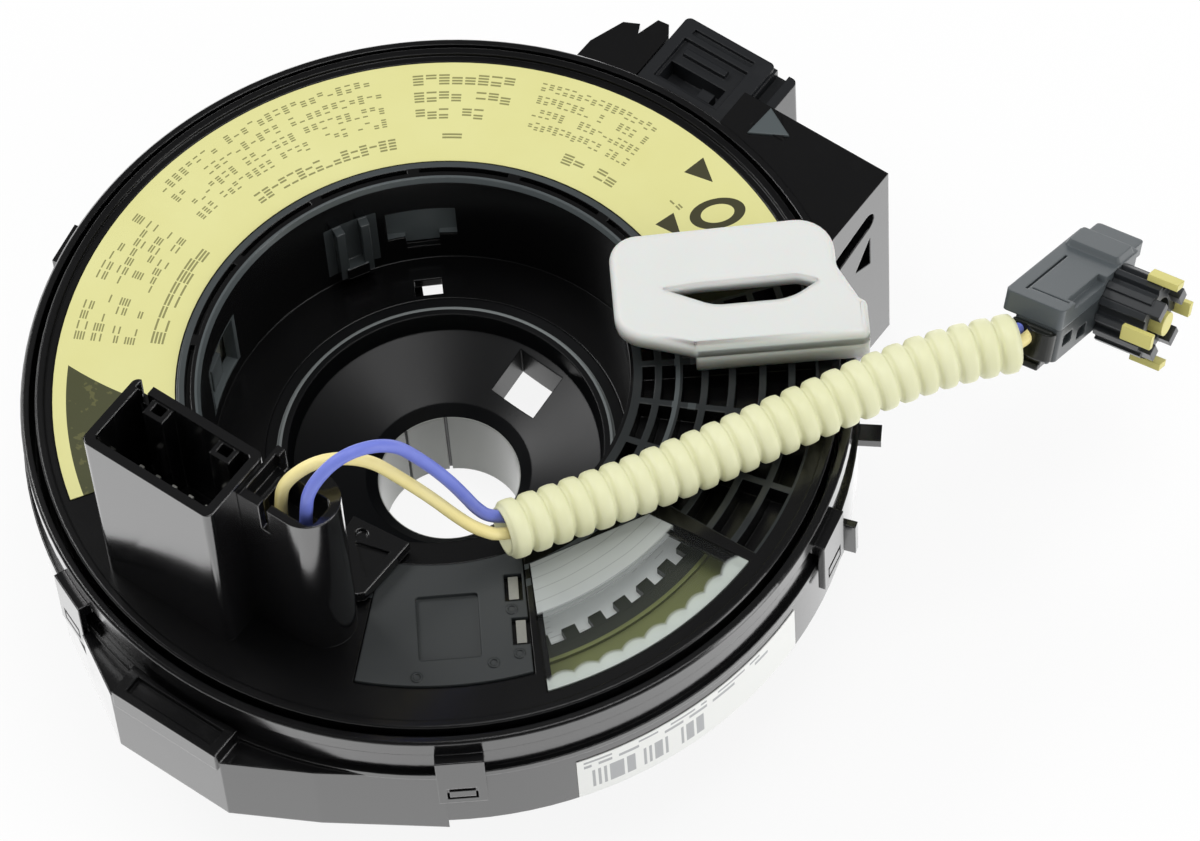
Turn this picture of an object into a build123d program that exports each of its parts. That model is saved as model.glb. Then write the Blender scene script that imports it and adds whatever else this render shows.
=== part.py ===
"""Steering clock spring: a fixed case, a rotor that turns with the wheel, and the cable between them.

The origin is the centre of the shaft bore in the plane the part rests on, +Z up along the shaft.
-Y is the side of the two upright housings, +Y the side of the column connectors. Millimetres.
"""
import os
from math import atan2, cos, degrees, radians, sin, tan

from build123d import *

os.makedirs("parts", exist_ok=True)

# ---- driving dimensions ----------------------------------------------------------------------
face_z = 36.0              # wheel-side face of the rotor, where the label lies
running_gap = 0.8          # free space between turning and fixed mouldings
hub_clearance = 0.08       # running fit of the hub in the case's bearing collar
fit_gap = 0.15             # around inserts that drop into a recess

# rotor
flange_t = 1.8
rim_lip_w = 1.1            # raised lip round the flange
rim_lip_h = 0.4
label_margin = 2.2         # from the outside of the flange
label_inner_r = 32.7
label_t = 0.15
label_from = 57.0          # degrees, anticlockwise to label_to
label_to = 236.5
bore_r = 29.6              # wide bore of the rotor
bore_wall = 1.6
bore_rim_w = 2.8           # raised rim round the wide bore
near_bore_r = 24.0         # the flange reaches further in beside the window
floor_z = 19.0             # floor inside the wide bore
floor_t = 1.5
hub_seat_r = 23.0          # hole in that floor, which the hub fills

# hub with the shaft bore
shaft_r = 9.0
shaft_wall = 3.0
hub_ring_r = 20.1          # light ring at the top of the hub's funnel
hub_ring_w = 1.2
hub_r = 22.0               # journal that turns in the case
funnel_z = 12.2            # where the funnel meets the shaft bore
cam_reach = 16.5           # radius of the two cancelling lobes
cam_z = 2.5
cam_h = 5.0

# case
case_r = 52.2
case_wall = 1.3
case_bottom_z = 15.5
case_floor_t = 1.2
case_top_z = 28.8
case_bead_reach = 0.4      # thin bead round the joint with the upper ring
case_bead_h = 1.0
collar_wall = 1.8
collar_h = 5.0
skirt_top_z = 28.0
bracket_h = 2.4             # above the skirt
skirt_corners = [(0.8, -117.0), (4.3, -99.2), (4.2, -81.8), (1.4, -70.0), (0.3, -52.9)]  # reach, angle

lug_corners = [
    (-8.6, -3.6), (-8.4, 3.6), (-6.6, 8.4), (-4.6, 9.4), (-3.9, 8.0), (-3.0, 11.2), (-1.4, 11.4),
    (-0.3, 9.8), (-0.3, -0.8),
]                          # from the back connector's corner and the case

# upper ring and the hood of the side connector
ring_top_z = 35.7
ring_land_w = 1.1
ring_step_z = 32.8         # below this the ring is set back
ring_setback = 0.3
hood_x0 = 6.2
hood_x1 = 28.5
hood_reach = 5.3           # beyond the case
hood_wall = 1.4
hood_top_z = 35.2

# back connector
back_x0 = -9.0
back_x1 = 5.0
back_gap = 1.2             # from the case
back_l = 12.6
back_cavity_h = 14.0
back_top_z = 30.2
back_wall = 1.4

# snap clips round the case
clip_w = 6.0
clip_t = 0.9
clip_low_z = 23.6
clip_angles = [-50.5, -112.0, 12.0, 132.0, 190.0]
nib_w = 3.2
nib_reach = 0.55

# upright housings on the rotor
tower_x0 = -17.1
tower_x1 = 2.3
tower_y0 = -44.9
tower_y1 = -34.0
tower_h = 29.0
tower_wall = 1.2
tower_depth = 17.0         # depth of the connector's cavity
outlet_x1 = 13.8
outlet_y0 = -39.7
outlet_y1 = -31.6
outlet_h = 28.0
outlet_pocket_depth = 6.5

# pins
pin_size = 0.64
pin_h = 6.5

# window
lens_t = 1.2
lens_ledge = 0.7
lens_margin = 2.9          # from the outside of the flange
lens_corners = [(25.6, -15.2), (33.4, -1.2)]

# lattice beside the window
near_from = -88.0          # where the flange starts to reach further in
lattice_from = 1.5
lattice_to = 54.0
lattice_inner_r = 25.6
lattice_margin = 2.7       # from the outside of the flange
lattice_depth = 3.0
lattice_floor_t = 0.8
rib_w = 0.9
rib_radii = [27.6, 30.2, 33.4, 36.8, 40.6, 44.2]
rib_angles = [14.0, 27.0, 39.0]

# access cover
cover_t = 1.0
cover_rise = 0.3
cover_inner_r = 27.4
cover_outer_r = 44.4
cover_corners = [(8.2, -20.8), (21.4, -47.6), (47.0, -47.0), (42.5, -35.7), (20.5, -10.8)]

# cable inside the case
cable_t = 0.3
cable_pitch = 1.1
cable_turns = 3
cable_gap = 0.9            # from the walls on both sides
cable_w = 10.6

# toothed carrier ring over the cable
carrier_root_r = 38.6
tooth_h = 1.5
carrier_outer_r = 43.8
carrier_step_r = 41.2
scallop_r = 0.8
scallop_count = 60
guide_t = 0.25             # pale sheet over the inner coil, under the teeth
carrier_z = 29.7
carrier_t = 1.3
carrier_step_h = 0.6
carrier_post_d = 3.6        # its posts stand on the case floor between the coils
slide_gap = 0.05           # under parts that slide on the case floor
tooth_count = 64

# transit lock
lock_turn = 40.0           # degrees of its long side from X
lock_x0 = 22.6
lock_x1 = 53.6
lock_y0 = -2.6
lock_y1 = 15.4
lock_top_h = 6.0           # handle's top over the rotor face
lock_t = 2.2
lock_step_x = 32.4         # the front wall starts here
lock_edge_r = 0.9
lock_foot_x = 38.7
lock_foot_l = 1.9

# wires, sleeve and plug
wire_d = 1.6
wire_side = 0.95           # each wire lies this far to the side of the sleeve's centre line
sleeve_d = 7.5
sleeve_hole_d = 5.4
plug_l = 22.0
plug_w = 8.2
plug_h = 7.4
plug_cover_t = 2.8
plug_inset = 1.8           # the body is narrower than its cover on the far side
nose_r = 5.0
nose_l = 7.2
nose_x = 16.2              # from the plug's rear end

sleeve_route = [
    (22.8, -16.4, 42.6), (29.6, -4.6, 41.0), (36.2, 7.4, 40.4), (42.6, 19.6, 40.4),
    (48.6, 31.0, 40.3), (53.6, 38.4, 40.0), (57.6, 43.2, 39.4),
]
yellow_start = [
    (6.0, -36.6, 57.6), (6.1, -36.5, 60.8), (6.6, -35.9, 65.4), (9.6, -32.4, 68.6),
    (13.2, -28.2, 66.4), (15.6, -25.4, 60.4), (17.7, -22.8, 54.4), (19.5, -21.0, 49.6),
    (21.3, -19.4, 45.9), (23.6, -16.9, 42.8),
]
blue_start = [
    (10.2, -37.2, 57.6), (10.4, -36.9, 62.8), (10.8, -36.1, 68.2), (13.0, -31.9, 72.2),
    (15.8, -26.6, 70.2), (17.5, -23.4, 63.6), (18.9, -20.8, 57.0), (19.8, -19.0, 51.4),
    (20.2, -17.9, 47.8), (21.1, -16.5, 44.5), (23.9, -12.6, 42.3),
]


# ---- helpers ---------------------------------------------------------------------------------
def polar(radius, angle, z=0.0):
    """Point at a radius and an angle in degrees."""
    return Vector(radius * cos(radians(angle)), radius * sin(radians(angle)), z)


def sector(r_in, r_out, start, end):
    """Flat piece of a ring between two angles."""
    with BuildSketch() as piece:
        with BuildLine():
            outer = CenterArc((0, 0), r_out, start, end - start)
            inner = CenterArc((0, 0), r_in, start, end - start)
            Line(outer @ 0, inner @ 0)
            Line(outer @ 1, inner @ 1)
        make_face()
    return piece.sketch


def ring_profile(points):
    """Closed outline in the XZ plane, for revolving round Z."""
    with BuildSketch(Plane.XZ) as outline:
        with BuildLine():
            Polyline(*points, close=True)
        make_face()
    return outline.sketch


def box_between(x0, x1, y0, y1, z0, z1, **kwargs):
    """Box given by its lowest and highest corners, in the part being built."""
    centre = ((x0 + x1) / 2, (y0 + y1) / 2, (z0 + z1) / 2)
    with Locations(centre):
        Box(x1 - x0, y1 - y0, z1 - z0, **kwargs)


def block_at(radius, angle, z0, z1, depth, width, **kwargs):
    """Box whose depth runs outward from the axis, centred on a radius and an angle."""
    where = Location(polar(radius, angle, (z0 + z1) / 2), (0, 0, angle))
    with Locations(where):
        Box(depth, width, z1 - z0, **kwargs)


def bend_radii(points):
    """Largest tangent arcs that the runs of a route leave room for."""
    radii = []
    for before, here, after in zip(points, points[1:], points[2:]):
        run_in = Vector(here) - Vector(before)
        run_out = Vector(after) - Vector(here)
        turn = radians(run_in.get_angle(run_out))
        radii.append(0.45 * min(run_in.length, run_out.length) / tan(turn / 2))
    return radii


def cover_outline(margin):
    """Outline of the access cover, between two arcs round the shaft."""
    with BuildSketch() as outline:
        with BuildLine():
            Polyline(*cover_corners, close=True)
        make_face()
        Circle(cover_outer_r, mode=Mode.INTERSECT)
        Circle(cover_inner_r, mode=Mode.SUBTRACT)
        if margin:
            offset(amount=margin, kind=Kind.INTERSECTION)
    return outline.sketch


def lens_outline(margin):
    """Window outline: straight sides, and an outer edge concentric with the rotor."""
    first, second = (Vector(*corner) for corner in lens_corners)
    left_dir = Vector(cos(radians(-46.6)), sin(radians(-46.6)))
    right_dir = Vector(cos(radians(6.0)), sin(radians(6.0)))
    with BuildSketch() as outline:
        with BuildLine():
            Polyline(first + left_dir * 30, first, second, second + right_dir * 30, close=True)
        make_face()
        Circle(lens_outer_r, mode=Mode.INTERSECT)
        if margin:
            offset(amount=margin, kind=Kind.INTERSECTION)
    return outline.sketch


# ---- heights and radii that follow -----------------------------------------------------------
rotor_r = case_r - ring_land_w - running_gap
label_outer_r = rotor_r - label_margin
lens_outer_r = rotor_r - lens_margin
lattice_outer_r = rotor_r - lattice_margin
case_bead_r = case_r + case_bead_reach
ring_low_r = case_r - ring_setback
hood_y0 = 0.77 * case_r
hood_y1 = case_r + hood_reach
back_y0 = case_r + back_gap
back_y1 = back_y0 + back_l
cable_inner_r = bore_r + bore_wall + cable_gap
cable_outer_r = case_r - case_wall - cable_gap - cable_t - cable_turns * cable_pitch
carrier_tip_r = carrier_root_r - tooth_h
inner_end_r = cable_inner_r + cable_turns * cable_pitch
outer_end_r = cable_outer_r + cable_turns * cable_pitch
carrier_post_r = (inner_end_r + cable_outer_r) / 2
flange_z = face_z - flange_t
lip_top_z = face_z + rim_lip_h
tower_z = face_z + tower_h
outlet_z = face_z + outlet_h
case_floor_z = case_bottom_z + case_floor_t
collar_bottom_z = case_bottom_z - collar_h
cable_z = case_floor_z + slide_gap
case_inner_r = case_r - case_wall
ring_inner_r = case_r - ring_land_w
clip_r = case_bead_r + 0.1
lattice_z = face_z - lattice_depth

# ---- case ------------------------------------------------------------------------------------
with BuildPart() as stator_case:
    collar_r = hub_r + hub_clearance
    add(ring_profile([
        (collar_r, collar_bottom_z), (collar_r + collar_wall, collar_bottom_z),
        (collar_r + collar_wall, case_bottom_z), (case_r - 1.2, case_bottom_z),
        (case_r, case_bottom_z + 1.2), (case_r, case_top_z - case_bead_h - 0.4),
        (case_bead_r, case_top_z - case_bead_h), (case_bead_r, case_top_z),
        (case_inner_r, case_top_z), (case_inner_r, case_floor_z),
        (collar_r, case_floor_z),
    ]))
    revolve(axis=Axis.Z)
    with BuildSketch(Plane.XY.offset(case_bottom_z)):
        with BuildLine():
            corners = [polar(case_r + reach, angle) for reach, angle in skirt_corners]
            Polyline(*corners, polar(case_r / 2, -80.0), close=True)
        make_face()
        Circle(case_r - 0.6, mode=Mode.SUBTRACT)
    extrude(amount=skirt_top_z - case_bottom_z)
    bracket_top_z = skirt_top_z + bracket_h
    box_between(-8.0, 8.0, -case_r - 4.2, -case_r + 0.3, skirt_top_z - 1.0, bracket_top_z)
    box_between(-6.6, 6.6, -case_r - 3.0, -case_r - 0.7, bracket_top_z - 0.8, bracket_top_z + 0.6, mode=Mode.SUBTRACT)
    with BuildSketch(Plane.XY.offset(case_bottom_z)):
        with Locations((-2.8, -case_r - 1.7), (1.2, -case_r - 1.7)):
            Circle(0.9)
    extrude(amount=-3.2, taper=8)
    # bearing lug beside the back connector, with its notched end
    with BuildSketch(Plane.XY.offset(back_top_z - 3.4)):
        with BuildLine():
            Polyline(
                *[(back_x0 + dx, case_r + dy) for dx, dy in lug_corners], close=True,
            )
        make_face()
        Circle(case_r - 0.6, mode=Mode.SUBTRACT)
    extrude(amount=3.2)
    for rib_x in (-16.0, -11.4):
        box_between(rib_x - 0.7, rib_x + 0.7, case_r - 2.0, case_r + 6.4, 20.0, back_top_z - 3.3)
    # the upper ring drops into everything that stands over the joint
    with BuildSketch(Plane.XY.offset(case_top_z)):
        Circle(case_r + 0.15)
    extrude(amount=4.0, mode=Mode.SUBTRACT)
    # free places for the ring's clips, and the nibs that they catch on
    for angle in clip_angles:
        block_at(clip_r + 1.5, angle, clip_low_z - 0.4, 32.0, 3.1, clip_w + 0.8, mode=Mode.SUBTRACT)
    for angle in clip_angles:
        block_at(case_r + 0.4, angle, 25.0, 26.4, 2 * nib_reach + 0.9, nib_w)
    # small ear and fin on the wall
    block_at(case_r + 1.2, 31.0, 27.0, 28.4, 4.0, 2.4)
    block_at(case_r + 0.6, 17.5, 21.0, 27.0, 3.6, 1.0)
    # light hole through the floor
    block_at(collar_r + 4.4, 132.0, case_bottom_z - 1.0, case_floor_z + 1.0, 4.4, 7.0, mode=Mode.SUBTRACT)
    # ribs under the floor, between the collar and the wall
    for angle in range(15, 375, 30):
        block_at((collar_r + case_r) / 2, angle, case_bottom_z - 1.0, case_bottom_z + 0.2,
                 case_r - collar_r - 4.0, 1.2)
stator_case.part.label = "stator_case"

# ---- upper ring with the side connector's hood -----------------------------------------------
with BuildPart() as stator_ring:
    add(ring_profile([
        (ring_inner_r, case_top_z), (ring_low_r, case_top_z), (ring_low_r, ring_step_z),
        (case_r, ring_step_z + 0.3), (case_r, ring_top_z - 0.3), (case_r - 0.3, ring_top_z),
        (ring_inner_r, ring_top_z),
    ]))
    revolve(axis=Axis.Z)
    with BuildSketch():
        with Locations(((hood_x0 + hood_x1) / 2, (hood_y1 + hood_y0) / 2)):
            Rectangle(hood_x1 - hood_x0, hood_y1 - hood_y0)
        Circle(clip_r, mode=Mode.SUBTRACT)
    extrude(amount=hood_top_z)
    with BuildSketch(Plane.XY.offset(ring_step_z + 0.5)):
        with Locations(((hood_x0 + hood_x1) / 2, (hood_y1 + hood_y0) / 2)):
            Rectangle(hood_x1 - hood_x0, hood_y1 - hood_y0)
        Circle(ring_inner_r + 0.3, mode=Mode.SUBTRACT)
    extrude(amount=hood_top_z - ring_step_z - 0.5)
    with BuildSketch():
        with Locations(((hood_x0 + hood_x1) / 2, (hood_y1 + hood_y0) / 2)):
            Rectangle(hood_x1 - hood_x0 - 2 * hood_wall, hood_y1 - hood_y0 - 2 * hood_wall)
        Circle(clip_r + hood_wall, mode=Mode.SUBTRACT)
    extrude(amount=hood_top_z - hood_wall, mode=Mode.SUBTRACT)
    # slot and three-cornered window in the hood's end wall
    with BuildSketch(Plane(origin=(hood_x1 + 1, case_r - 2.6, 28.8), x_dir=(0, 1, 0), z_dir=(1, 0, 0))):
        with Locations(Location((0, 0), 12)):
            SlotOverall(9.4, 3.2)
        with Locations((2.6, -6.4)):
            Triangle(a=6.0, b=5.4, c=3.8, rotation=90)
    extrude(amount=-hood_wall - 2, mode=Mode.SUBTRACT)
    # raised three-cornered mark on the hood
    with BuildSketch(Plane.XY.offset(hood_top_z)):
        with Locations((hood_x0 + 6.0, hood_y1 - 2.5)):
            Triangle(a=5.2, b=4.0, c=4.0, rotation=0)
    extrude(amount=0.25)
    # clips that hang from the ring and catch the case's nibs
    for angle in clip_angles:
        block_at((ring_low_r + clip_r + clip_t) / 2 - 0.1, angle, ring_step_z - 1.6, ring_step_z + 0.4,
                 clip_r + clip_t - ring_low_r + 0.2, clip_w)
        block_at(clip_r + clip_t / 2, angle, clip_low_z, ring_step_z, clip_t, clip_w)
        block_at(clip_r + clip_t / 2, angle, clip_low_z + 1.0, clip_low_z + 3.4, clip_t + 1.0, nib_w + 0.6,
                 mode=Mode.SUBTRACT)
stator_ring.part.label = "stator_ring"

# ---- side connector header inside the hood ---------------------------------------------------
header_x0 = hood_x0 + hood_wall + fit_gap
header_x1 = hood_x1 - hood_wall - fit_gap
header_y1 = hood_y1 - hood_wall - fit_gap
header_top_z = hood_top_z - hood_wall
header_low_z = 12.0
with BuildPart() as airbag_connector:
    with BuildSketch(Plane.XY.offset(header_low_z)):
        with Locations(((header_x0 + header_x1) / 2, (header_y1 + hood_y0) / 2)):
            Rectangle(header_x1 - header_x0, header_y1 - hood_y0)
        Circle(clip_r + hood_wall + fit_gap, mode=Mode.SUBTRACT)
        with Locations((header_x1 - 4, (hood_y0 + case_r - 1.2) / 2)):
            Rectangle(30, case_r - 1.2 - hood_y0, mode=Mode.SUBTRACT)
    extrude(amount=header_top_z - header_low_z)
airbag_connector.part.label = "airbag_connector"

with BuildPart() as airbag_connector_pins:
    with BuildSketch(Plane.XY.offset(header_low_z)):
        with Locations((16.5, case_r + 1.8)):
            with GridLocations(3.0, 0.0, 4, 1):
                Rectangle(pin_size, pin_size)
    extrude(amount=-pin_h)
airbag_connector_pins.part.label = "airbag_connector_pins"

# ---- back connector --------------------------------------------------------------------------
back_channel_x = hood_x0 - 0.2
with BuildPart() as column_connector:
    box_between(back_x0, back_x1, back_y0, back_y1, 0.0, back_top_z)
    box_between(back_x1 - 0.5, 8.4, hood_y1 + 0.2, back_y1, 0.0, back_top_z - 0.8)
    fillet(column_connector.edges().filter_by(Axis.Z).group_by(Axis.Y)[-1], 0.8)
    box_between(back_x0 + back_wall, back_x1 - back_wall, back_y0 + back_wall, back_y1 - back_wall,
                0.0, back_cavity_h, mode=Mode.SUBTRACT)
    # latch window, the panel above it and the channel beside it
    box_between(back_x0 + 1.6, 2.6, back_y0 + 2.6, back_y1 - 3.0, back_top_z - 0.7, back_top_z, mode=Mode.SUBTRACT)
    box_between(back_x0 + 2.0, 1.6, back_y0 + 3.2, back_y0 + 6.0, back_top_z - 3.6, back_top_z, mode=Mode.SUBTRACT)
    box_between(-1.2, 0.8, back_y0 + 3.2, back_y0 + 4.8, back_top_z - 3.6, back_top_z - 0.9)
    box_between(back_x0 + 2.8, 0.4, back_y0 + 7.4, back_y0 + 8.4, back_top_z - 0.8, back_top_z)
    box_between(back_x0 + 2.0, 2.4, back_y1 - 2.0, back_y1 - 1.2, back_top_z - 0.5, back_top_z, mode=Mode.SUBTRACT)
    box_between(5.2, 7.0, hood_y1 + 0.2, back_y1, back_top_z - 2.2, back_top_z, mode=Mode.SUBTRACT)
column_connector.part.label = "column_connector"

with BuildPart() as column_connector_pins:
    with BuildSketch(Plane.XY.offset(back_cavity_h)):
        with Locations(((back_x0 + back_x1) / 2, (back_y0 + back_y1) / 2)):
            with GridLocations(2.2, 3.4, 5, 2):
                Rectangle(pin_size, pin_size)
    extrude(amount=-pin_h)
column_connector_pins.part.label = "column_connector_pins"

# ---- bar sticker on the case wall ------------------------------------------------------------
with BuildPart() as side_label:
    with BuildSketch(Plane.XY.offset(case_bottom_z + 1.4)):
        add(sector(case_r, case_r + 0.12, -35.0, 3.0))
    extrude(amount=8.6)
side_label.part.label = "side_label"

# ---- flat cable: two coils joined by a U-turn ------------------------------------------------
def coil(radius, turns, mirrored, shift):
    """Half circles about two centres, which make a coil of even pitch."""
    way = -1 if mirrored else 1
    for half in range(2 * turns):
        centre = (0, 0) if half % 2 == 0 else (cable_pitch / 2, 0)
        start = 0 if half % 2 == 0 else 180
        CenterArc(centre, radius + half * cable_pitch / 2 + shift, start, way * 180)


half_t = cable_t / 2
with BuildPart() as flat_cable:
    with BuildSketch(Plane.XY.offset(cable_z)):
        with BuildLine():
            for shift in (-half_t, half_t):
                coil(cable_inner_r, cable_turns, False, shift)
                coil(cable_outer_r, cable_turns, True, -shift)
                turn_r = (cable_outer_r - inner_end_r) / 2
                CenterArc((inner_end_r + turn_r, 0), turn_r - shift, 180, -180)
            Line((cable_inner_r - half_t, 0), (cable_inner_r + half_t, 0))
            Line((outer_end_r - half_t, 0), (outer_end_r + half_t, 0))
        make_face()
    extrude(amount=cable_w)
flat_cable.part.label = "flat_cable"

# ---- toothed carrier ring --------------------------------------------------------------------
with BuildPart() as cable_carrier:
    with BuildSketch(Plane.XY.offset(carrier_z)):
        Circle(carrier_outer_r)
        Circle(carrier_root_r, mode=Mode.SUBTRACT)
        tooth_w = 3.1416 * carrier_tip_r / tooth_count
        with PolarLocations((carrier_root_r + carrier_tip_r) / 2 + 0.1, tooth_count):
            Rectangle(carrier_root_r - carrier_tip_r + 0.2, tooth_w)
        with PolarLocations(carrier_outer_r, scallop_count):
            Circle(scallop_r)
    extrude(amount=carrier_t)
    with BuildSketch(Plane.XY.offset(carrier_z + carrier_t)):
        Circle(carrier_step_r)
        Circle(carrier_root_r + 0.6, mode=Mode.SUBTRACT)
    extrude(amount=carrier_step_h)
    # posts, left out where the cable makes its U-turn
    with BuildSketch(Plane.XY.offset(case_floor_z + slide_gap)):
        for angle in range(30, 331, 30):
            with Locations(polar(carrier_post_r, angle)):
                Circle(carrier_post_d / 2)
    extrude(amount=carrier_z - case_floor_z)
cable_carrier.part.label = "cable_carrier"

with BuildPart() as guide_sheet:
    with BuildSketch(Plane.XY.offset(carrier_z - guide_t)):
        Circle(carrier_post_r - carrier_post_d / 2 - 0.1)
        Circle(bore_r + bore_wall + cable_gap, mode=Mode.SUBTRACT)
    extrude(amount=guide_t)
guide_sheet.part.label = "guide_sheet"

# ---- hub -------------------------------------------------------------------------------------
hub_low_z = collar_bottom_z
with BuildPart() as cancel_cam:
    add(ring_profile([
        (shaft_r, 0), (shaft_r + shaft_wall, 0), (shaft_r + shaft_wall, 8.4), (hub_r, hub_low_z + 2.0),
        (hub_r, floor_z - floor_t), (hub_seat_r, floor_z - floor_t), (hub_seat_r, floor_z),
        (hub_ring_r + hub_ring_w, floor_z), (hub_ring_r + hub_ring_w, floor_z + 0.6),
        (hub_ring_r, floor_z + 0.6), (hub_ring_r - 0.5, floor_z - 2.2), (shaft_r + 1.6, funnel_z + 1.2),
        (shaft_r, funnel_z),
    ]))
    revolve(axis=Axis.Z)
    for angle in (70, 250):
        block_at((shaft_r + shaft_wall + cam_reach) / 2 - 0.4, angle, cam_z, cam_z + cam_h,
                 cam_reach - shaft_r - shaft_wall + 0.8, 7.0)
    # opening through the funnel and the hub's split lines
    block_at(15.6, 86.0, 8.6, 18.9, 6.0, 7.0, mode=Mode.SUBTRACT)
    for angle in (130, 165, 345):
        block_at(shaft_r, angle, -0.1, funnel_z + 0.1, 0.8, 0.4, mode=Mode.SUBTRACT)
cancel_cam.part.label = "cancel_cam"

# ---- rotor -----------------------------------------------------------------------------------
outer_wall_r = bore_r + bore_wall
with BuildPart() as rotor:
    add(ring_profile([
        (hub_seat_r, floor_z - floor_t), (outer_wall_r, floor_z - floor_t), (outer_wall_r, flange_z),
        (rotor_r - 1.2, flange_z), (rotor_r - 1.2, flange_z - 1.0), (rotor_r, flange_z - 1.0),
        (rotor_r, lip_top_z - 0.2), (rotor_r - 0.2, lip_top_z), (rotor_r - rim_lip_w, lip_top_z),
        (rotor_r - rim_lip_w, face_z), (bore_r + bore_rim_w, face_z),
        (bore_r + bore_rim_w, face_z + 0.35), (bore_r + 0.4, face_z + 0.35), (bore_r, face_z - 0.3),
        (bore_r, floor_z), (hub_seat_r, floor_z),
    ]))
    revolve(axis=Axis.Z)
    # the rim is open on the side of the window: the flange reaches further in there
    with BuildSketch(Plane.XY.offset(flange_z)):
        add(sector(near_bore_r, bore_r + bore_rim_w + 0.1, near_from, lattice_to))
    extrude(amount=flange_t)
    with BuildSketch(Plane.XY.offset(face_z)):
        add(sector(bore_r - 0.1, bore_r + bore_rim_w + 0.1, near_from, lattice_to))
    extrude(amount=1.0, mode=Mode.SUBTRACT)
    # lattice: thick sector with pockets between its ribs
    with BuildSketch(Plane.XY.offset(lattice_z - lattice_floor_t)):
        add(sector(near_bore_r, lattice_outer_r + rib_w, lattice_from - 1.0, lattice_to))
    extrude(amount=lattice_depth + lattice_floor_t)
    radii = [lattice_inner_r - rib_w / 2] + rib_radii + [lattice_outer_r]
    angles = [lattice_from] + rib_angles + [lattice_to - 1.0]
    with BuildSketch(Plane.XY.offset(face_z)):
        for r_in, r_out in zip(radii, radii[1:]):
            half_angle = degrees(rib_w / 2 / ((r_in + r_out) / 2))
            for a_in, a_out in zip(angles, angles[1:]):
                add(sector(r_in + rib_w / 2, r_out - rib_w / 2, a_in + half_angle, a_out - half_angle))
    extrude(amount=-lattice_depth, mode=Mode.SUBTRACT)
    # recess of the label
    with BuildSketch(Plane.XY.offset(face_z)):
        add(sector(label_inner_r, label_outer_r + 0.1, label_from, label_to))
    extrude(amount=-label_t, mode=Mode.SUBTRACT)
    # window: through opening and the ledge that the lens lies on
    with BuildSketch(Plane.XY.offset(face_z)):
        add(lens_outline(-lens_ledge))
    extrude(amount=-flange_t - 3, mode=Mode.SUBTRACT)
    with BuildSketch(Plane.XY.offset(face_z)):
        add(lens_outline(fit_gap))
    extrude(amount=-lens_t, mode=Mode.SUBTRACT)
    # recess of the access cover
    with BuildSketch(Plane.XY.offset(face_z)):
        add(cover_outline(fit_gap))
    extrude(amount=-(cover_t - cover_rise), mode=Mode.SUBTRACT)
    # groove in the rim of the wide bore, broken by bridges
    with BuildSketch(Plane.XY.offset(face_z + 0.35)):
        for start in range(62, 236, 24):
            add(sector(bore_r + 1.3, bore_r + 1.9, start, start + 21))
    extrude(amount=-1.2, mode=Mode.SUBTRACT)
    # recesses, clips and windows of the bore wall
    block_at(bore_r, 132.0, 24.0, 30.0, 1.6, 9.0, mode=Mode.SUBTRACT)
    block_at(bore_r, 132.0, 21.6, 24.1, 1.6, 4.4, mode=Mode.SUBTRACT)
    block_at(bore_r, 198.0, 21.4, 30.6, 5.0, 8.0, mode=Mode.SUBTRACT)
    block_at(bore_r + 1.2, 198.0, 21.4, 26.0, 0.8, 3.0)
    for side in (-3.4, 3.4):
        block_at(bore_r - 0.4, 150.0 + side, 21.0, 31.0, 2.0, 1.2)
    block_at(bore_r - 0.6, 150.0, 21.0, 23.0, 2.2, 3.0)
    block_at(bore_r - 0.5, 60.0, 24.0, 31.0, 2.0, 3.2)
    block_at(24.9, 132.0, floor_z - 2.0, floor_z + 1.0, 2.4, 3.6, mode=Mode.SUBTRACT)
rotor.part.label = "rotor"

with BuildPart() as rotor_label:
    with BuildSketch(Plane.XY.offset(face_z - label_t)):
        add(sector(label_inner_r + 0.1, label_outer_r, label_from + 0.2, label_to - 0.2))
    extrude(amount=label_t)
rotor_label.part.label = "rotor_label"

with BuildPart() as window_lens:
    with BuildSketch(Plane.XY.offset(face_z - lens_t)):
        add(lens_outline(0))
    extrude(amount=lens_t + 0.1)
window_lens.part.label = "window_lens"

# ---- access cover and the metal tabs in its slots --------------------------------------------
cover_low_z = face_z - cover_t + cover_rise
cover_top_z = face_z + cover_rise
cover_plane = Plane(origin=(0, 0, cover_top_z), x_dir=(cos(radians(40)), sin(radians(40)), 0), z_dir=(0, 0, 1))
slot_centres = [(7.6, -31.4), (8.2, -37.6)]
with BuildPart() as access_cover:
    with BuildSketch(Plane.XY.offset(cover_low_z)):
        add(cover_outline(0))
    extrude(amount=cover_t)
    with BuildSketch(cover_plane):
        with Locations((-0.6, -36.2)):
            RectangleRounded(7.6, 9.0, 0.4)
    extrude(amount=-0.6, mode=Mode.SUBTRACT)
    with BuildSketch(cover_plane):
        with Locations(*slot_centres):
            Rectangle(2.2, 3.8)
    extrude(amount=-cover_t, mode=Mode.SUBTRACT)
    with BuildSketch(cover_plane):
        with Locations((7.2, -34.5), (7.8, -40.8), (4.6, -41.8), (-4.8, -43.0)):
            Circle(0.7)
            Circle(0.45, mode=Mode.SUBTRACT)
    extrude(amount=0.15)
access_cover.part.label = "access_cover"

with BuildPart() as contact_tabs:
    with BuildSketch(cover_plane.offset(-cover_t)):
        with Locations(*slot_centres):
            Rectangle(1.2, 3.2)
    extrude(amount=cover_t - 0.2)
contact_tabs.part.label = "contact_tabs"

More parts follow.
